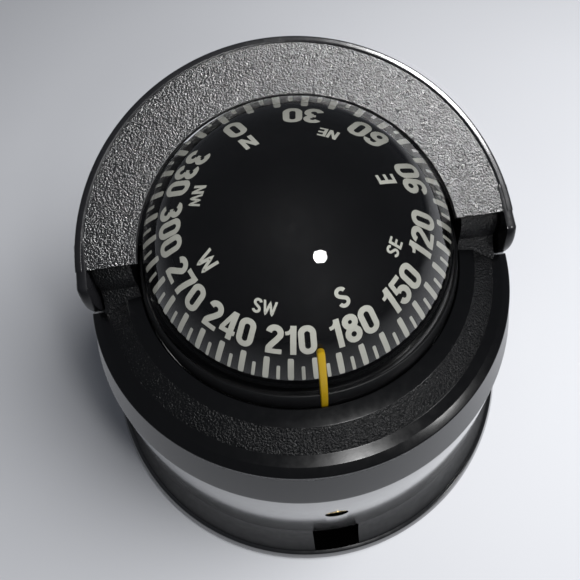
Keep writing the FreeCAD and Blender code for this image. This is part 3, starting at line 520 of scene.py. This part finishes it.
def make_dome():
    """Dome window with the fluid behind it, as one clear body that ends in the bowl."""
    outline = [(35.5, 47.5), (35.5, 60.55), (44.8, 60.55), (44.8, 62.9), (DOME_R, 62.9)]
    outline += arc((0, RING_Z), DOME_R, 0, 90, 110)
    outline[-1] = (0.0, RING_Z + DOME_R)
    outline += [(0.0, 41.5), (29.4, 41.5)]
    item = joined("dome", [ring("dome", outline, 320)], sharp=40)
    item.visible_shadow = False
    return dress(item, "dome_clear", "housing", "dome_window")


def on_card(heading, across, radius_mm):
    """Point on the card's face, a distance to the reader's right of a heading's radius."""
    turn = math.radians(-90.0 - (heading - LUBBER_READING)) + across / max(radius_mm, 1)
    rise = math.sqrt(CARD_R ** 2 - radius_mm ** 2)
    grow = 1 + PRINT_LIFT / CARD_R
    return (radius_mm * grow * math.cos(turn), radius_mm * grow * math.sin(turn),
            CARD_CENTRE_Z + rise * grow)


def stroke_sides(path, half, closed):
    """Left and right edges of a thick line along a path of (x, y) points."""
    left, right = [], []
    count = len(path)
    for index, point in enumerate(path):
        here = Vector(point)
        before = Vector(path[index - 1]) if closed or index else None
        after = Vector(path[(index + 1) % count]) if closed or index + 1 < count else None
        first = (here - before).normalized() if before is not None else None
        second = (after - here).normalized() if after is not None else None
        first = first or second
        second = second or first
        along = (first + second).normalized()
        normal = Vector((-along.y, along.x))
        reach = half / max(normal.dot(Vector((-second.y, second.x))), 0.4)
        left.append(here + normal * reach)
        right.append(here - normal * reach)
    return left, right


def refined(path, closed, step=0.12):
    """Path with points added so that no gap is longer than a step."""
    result = []
    count = len(path)
    for index in range(count if closed else count - 1):
        here, there = Vector(path[index]), Vector(path[(index + 1) % count])
        parts = max(1, math.ceil((there - here).length / step))
        result += [tuple(here.lerp(there, part / parts)) for part in range(parts)]
    if not closed:
        result.append(tuple(path[-1]))
    return result


def oval(cx, cy, rx, ry, start, end, steps=14):
    """Points on an oval between two angles in degrees."""
    points = []
    for step in range(steps + 1):
        angle = math.radians(start + (end - start) * step / steps)
        points.append((cx + rx * math.cos(angle), cy + ry * math.sin(angle)))
    return points


# A glyph is its width and its strokes, with its height as 1.  A stroke is (path, closed, half).
BOLD = 0.1
HEAVY = 0.088


def glyph(letter):
    """Width and strokes of one bold condensed figure or letter."""
    mid, side = 0.29, 0.194
    if letter == "0":
        path = oval(mid, 0.71, side, 0.194, 0, 180) + oval(mid, 0.29, side, 0.194, 180, 360)
        return 0.58, [(path, True, BOLD)]
    if letter == "1":
        flag = [(0.03, 0.735), (0.12, 0.75), (0.20, 0.80), (0.25, 0.90)]
        return 0.42, [([(0.29, 0.0), (0.29, 1.0)], False, 0.1), (flag, False, 0.062)]
    if letter == "2":
        curve = oval(mid, 0.705, side, 0.199, 172, -22)
        curve += [(0.37, 0.50), (0.20, 0.30), (0.135, 0.20), (0.125, 0.12)]
        return 0.58, [(curve, False, BOLD), ([(0.025, 0.085), (0.565, 0.085)], False, 0.085)]
    if letter == "3":
        upper = oval(mid - 0.01, 0.735, 0.175, 0.17, 165, -80)
        lower = oval(mid - 0.01, 0.29, 0.195, 0.195, 85, -165)
        return 0.58, [(upper, False, BOLD), (lower, False, BOLD),
                      ([(0.20, 0.525), (0.32, 0.525)], False, 0.075)]
    if letter == "4":
        return 0.60, [([(0.42, 0.0), (0.42, 1.0)], False, BOLD),
                      ([(0.385, 0.97), (0.09, 0.31)], False, 0.075),
                      ([(0.02, 0.275), (0.59, 0.275)], False, 0.08)]
    if letter == "5":
        bowl = oval(mid - 0.01, 0.33, 0.2, 0.235, 128, -165)
        return 0.58, [([(0.09, 0.915), (0.53, 0.915)], False, 0.085),
                      ([(0.145, 0.97), (0.115, 0.50)], False, 0.08), (bowl, False, BOLD)]
    if letter in "69":
        bowl = oval(mid, 0.31, side, 0.214, 0, 360)[:-1]
        stem = [(mid - side, 0.31)] + oval(mid, 0.70, side, 0.204, 180, 12)
        strokes = [(bowl, True, BOLD), (stem, False, BOLD)]
        if letter == "9":
            strokes = [([(0.58 - x, 1 - y) for x, y in path], closed, half)
                       for path, closed, half in strokes]
        return 0.58, strokes
    if letter == "7":
        return 0.56, [([(0.03, 0.915), (0.54, 0.915)], False, 0.085),
                      ([(0.45, 0.88), (0.33, 0.55), (0.25, 0.25), (0.22, 0.0)], False, BOLD)]
    if letter == "8":
        return 0.58, [(oval(mid, 0.735, 0.172, 0.172, 0, 360)[:-1], True, BOLD),
                      (oval(mid, 0.297, side, 0.2, 0, 360)[:-1], True, BOLD)]
    if letter == "N":
        return 0.68, [([(0.11, 0.0), (0.11, 1.0)], False, BOLD),
                      ([(0.57, 0.0), (0.57, 1.0)], False, BOLD),
                      ([(0.13, 0.94), (0.55, 0.06)], False, 0.09)]
    if letter == "E":
        bars = [([(0.10, y), (0.54, y)], False, 0.082) for y in (0.082, 0.5, 0.918)]
        return 0.58, [([(0.11, 0.0), (0.11, 1.0)], False, BOLD)] + bars
    if letter == "S":
        path = oval(0.31, 0.72, 0.2, 0.184, 12, 240) + oval(0.31, 0.28, 0.205, 0.184, 60, -168)
        return 0.62, [(path, False, HEAVY)]
    if letter == "W":
        path = [(0.07, 1.0), (0.24, 0.06), (0.46, 0.86), (0.68, 0.06), (0.85, 1.0)]
        return 0.92, [(path, False, 0.08)]
    raise ValueError(letter)


def print_text(bm, text, heading, base, height, gap):
    """Print a word on the card with its foot at a radius and its top towards the middle."""
    shapes = [glyph(letter) for letter in text]
    total = sum(width for width, _ in shapes) * height + gap * (len(shapes) - 1)
    foot = math.asin(base / CARD_R)
    start = -total / 2
    for width, strokes in shapes:
        centre = start + width * height / 2
        turn = math.degrees(centre / (base - height * 0.4))
        for path, closed, half in strokes:
            path = refined(path, closed)
            left, right = stroke_sides(path, half, closed)
            rows = []
            for edge in (left, right):
                row = []
                for x, y in edge:
                    radius = CARD_R * math.sin(foot - min(max(y, 0), 1) * height / CARD_R)
                    across = (x - width / 2) * height
                    row.append(bm.verts.new(Vector(
                        on_card(heading - turn, across, radius)) * MM))
                rows.append(row)
            print_strip(bm, rows, closed)
        start += width * height + gap


def print_strip(bm, rows, closed):
    """Quads between two rows of points."""
    left, right = rows
    count = len(left)
    for index in range(count if closed else count - 1):
        following = (index + 1) % count
        face = bm.faces.new((left[index], right[index], right[following], left[following]))
        face.material_index = 1


def print_tick(bm, heading, inner, outer, half):
    """Tick with slightly narrowed ends along a heading's radius."""
    steps = 14
    left, right = [], []
    for step in range(steps + 1):
        share = (1 - math.cos(math.pi * step / steps)) / 2
        radius = inner + (outer - inner) * share
        end = min(radius - inner, outer - radius)
        reach = half * (0.78 + 0.22 * min(1, end / (half * 0.5)))
        left.append(bm.verts.new(Vector(on_card(heading, -reach, radius)) * MM))
        right.append(bm.verts.new(Vector(on_card(heading, reach, radius)) * MM))
    print_strip(bm, (left, right), False)


WINDS = {0: "N", 45: "NE", 90: "E", 135: "SE", 180: "S", 225: "SW", 270: "W", 315: "NW"}


def make_markings():
    """Ticks, figures and letters printed on the card."""
    bm = bmesh.new()
    for heading in range(0, 360, 10):
        print_tick(bm, heading, 24.6, 27.15, 0.56)
        print_tick(bm, heading + 5, 25.55, 27.15, 0.33)
    for heading in range(0, 360, 30):
        print_text(bm, str(heading), heading, 24.1, 5.5, 0.17)
    for heading, text in WINDS.items():
        height = 3.9 if len(text) == 1 else 2.75
        print_text(bm, text, heading, 19.3, height, 0.15)
    for face in bm.faces:
        if face.normal.z < 0:
            face.normal_flip()
    mesh = bpy.data.meshes.new("markings")
    bm.to_mesh(mesh)
    bm.free()
    return mesh


def make_card():
    """Dished card with its hub and its printed markings."""
    inner = CARD_R - 1.0
    edge = 63.1 - CARD_CENTRE_Z
    rim_out = math.degrees(math.asin(edge / CARD_R))
    rim_in = math.degrees(math.asin(edge / inner))
    hub_in = math.degrees(math.acos(6.0 / inner))
    outline = arc((0, CARD_CENTRE_Z), CARD_R, rim_out, 90, 60)
    outline[-1] = (0.0, CARD_CENTRE_Z + CARD_R)
    outline += [(0.0, 72.0), (3.5, 72.0), (3.5, 66.0), (6.0, 66.0)]
    outline += arc((0, CARD_CENTRE_Z), inner, hub_in, rim_in, 40)
    item = joined("card", [ring("card", outline, 240), make_markings()])
    looks = [SLOT_LOOKS["card_black"], SLOT_LOOKS["card_ink"]]
    return dress(item, "card_black", "card", "compass_card", looks=looks)


# ---------------------------------------------------------------- hood

def ear_profile(angle):
    """Profile of an ear at one angle about the hood's axis, flattened under the plate."""
    rise = math.sin(angle)
    reach = min(EAR_R, 7.9 / rise) if rise > 0 else EAR_R
    return [(2.05, 47.6), (reach - 0.5, 47.6), (reach - 0.15, 47.75), (reach, 48.1),
            (reach, 49.3), (reach - 0.3, 49.85), (reach - 0.9, 50.2), (4.0, 50.2), (3.7, 50.05),
            (3.7, 49.15), (2.05, 49.15)]


def hood_outline(angle):
    """Section of the hood at one angle, whose opening is centred in front of the axis."""
    lean = HOOD_SHIFT * math.cos(angle)
    inner = math.sqrt(HOOD_IN ** 2 - lean ** 2) - HOOD_SHIFT * math.sin(angle)
    return softened([
        (inner, 6.5, 0.4), (48.6, 6.5, 0.3), (48.6, 3.6, 0.2), (50.2, 3.6, 0.5), (50.2, 8.0, 0.8),
        (48.6, 8.0, 0.5), (48.3, 7.7, 0.2), (inner, 7.7, 0.4)])


def make_hood():
    """Half-ring hood with an ear at each end, built level and tilted about its axis."""
    count = 150
    stations = [(0, -1.0)] + [(180 * step / count, 0.0) for step in range(count + 1)]
    stations += [(180, -1.0)]
    plate = part_ring("plate", hood_outline, stations)
    mark_faces(plate, lambda at, normal: normal.z > 0.9 and at.xy.length < HOOD_GRAIN_OUT, 1)
    ear = around_x("ear", ear_profile, 0.0)
    item = joined("hood", [plate, ear, mirrored(ear)])
    turn = Matrix.Rotation(math.radians(HOOD_TILT), 4, "X")
    item.data.transform(Matrix.Translation((0, 0, HOOD_Z * MM)) @ turn)
    dress(item, "trim_black", "hood", "sun_hood", looks=[MOULDED, GRAINED])


# ---------------------------------------------------------------- floor, light and camera

def make_floor():
    """Pale floor with faint unevenness."""
    bm = bmesh.new()
    bmesh.ops.create_grid(bm, x_segments=8, y_segments=8, size=1.5)
    mesh = bpy.data.meshes.new("floor")
    bm.to_mesh(mesh)
    bm.free()
    item = new_object("floor", mesh)
    made, tree, main = shader("floor")
    patches = noise(tree, 6, 3)
    colour = tint(tree, patches, "Fac", (0.60, 0.61, 0.64), (0.66, 0.67, 0.70))
    tree.links.new(colour.outputs[2], main.inputs["Base Color"])
    main.inputs["Roughness"].default_value = 0.6
    item.data.materials.append(made)
    return item


def aim(item, place, target):
    """Put an object at a place and point it at a target, both in millimetres."""
    item.location = Vector(place) * MM
    item.rotation_euler = (Vector(target) - Vector(place)).to_track_quat("-Z", "Y").to_euler()


def soft_light(name, place, target, size, power):
    """Round area light."""
    lamp = bpy.data.lights.new(name, "AREA")
    lamp.shape = "DISK"
    lamp.size = size * MM
    lamp.energy = power
    item = bpy.data.objects.new(name, lamp)
    bpy.context.scene.collection.objects.link(item)
    aim(item, place, target)
    return item


def camera_axes():
    """Right, up and back directions of the camera."""
    lift, roll, yaw = [math.radians(a) for a in (CAMERA_LIFT, CAMERA_ROLL, CAMERA_YAW)]
    back = Vector((0, -math.cos(lift), math.sin(lift)))
    right = Vector((1, 0, 0))
    up = back.cross(right)
    turned = math.cos(roll) * right + math.sin(roll) * up
    raised = -math.sin(roll) * right + math.cos(roll) * up
    spin = Matrix.Rotation(yaw, 3, "Z")
    return spin @ turned, spin @ raised, spin @ back


def make_camera():
    """Camera close above the front, as near as the object's strong perspective shows."""
    right, up, back = camera_axes()
    data = bpy.data.cameras.new("camera")
    data.sensor_width = 36.0
    data.lens = 29.48
    data.shift_x = -0.0138
    data.shift_y = -0.0652
    data.clip_start = 0.005
    item = bpy.data.objects.new("camera", data)
    bpy.context.scene.collection.objects.link(item)
    place = Vector((0, 0, RING_Z)) + back * CAMERA_DISTANCE
    matrix = Matrix((right, up, back)).transposed().to_4x4()
    matrix.translation = place * MM
    item.matrix_world = matrix
    bpy.context.scene.camera = item
    return place, right, up


def aim_only(light, items, state):
    """Limit a light to some pieces (INCLUDE), or stop it from lighting them (EXCLUDE)."""
    group = bpy.data.collections.new(light.name + "_group")
    for item in items:
        group.objects.link(item)
    light.light_linking.receiver_collection = group
    for member in group.collection_objects:
        member.light_linking.link_state = state


# Broad lights: place, what they point at, size and power in watts.
OVERHEAD = ((165, 85, 340), (0, 0, 50), 120, 5.2)
FRONT_RIGHT = ((300, -220, 420), (0, 0, RING_Z), 80, 0.4)
FLOOR_LIGHT = ((290, -25, 450), (0, 0, 0), 420, 3.5)
CARD_LIGHT = ((0, 60, 380), (0, 0, RING_Z), 120, 0.7)


def make_world():
    """Faint even light from all round, and the plain view transform."""
    world = bpy.data.worlds.new("world")
    world.use_nodes = True
    sky = world.node_tree.nodes["Background"]
    sky.inputs["Color"].default_value = (0.80, 0.85, 0.95, 1)
    sky.inputs["Strength"].default_value = 0.12
    bpy.context.scene.world = world
    bpy.context.scene.view_settings.view_transform = "Standard"


def make_light(place, right, up, low_parts, card, dome, floor):
    """A small lamp beside the camera, and broad soft lights above and to the right."""
    soft_light("near_lamp", place + right * 25 - up * 5, (0, 0, RING_Z), 16, 0.04)
    above = soft_light("above_right", *OVERHEAD)
    front = soft_light("front_right", *FRONT_RIGHT)
    side = soft_light("floor_light", *FLOOR_LIGHT)
    fill = soft_light("card_light", *CARD_LIGHT)
    aim_only(above, [dome, floor, card] + low_parts, "EXCLUDE")
    aim_only(front, [dome, floor], "EXCLUDE")
    aim_only(side, [floor], "INCLUDE")
    aim_only(fill, [card], "INCLUDE")


dress_frame()
housing = make_housing()
bezel = make_bezel()
trim = make_trim()
lubber = make_lubber()
clear_dome = make_dome()
card = make_card()
make_hood()
pale_floor = make_floor()
camera_place, camera_right, camera_up = make_camera()
make_world()
make_light(camera_place, camera_right, camera_up, [housing, bezel, trim, lubber], card,
           clear_dome, pale_floor)
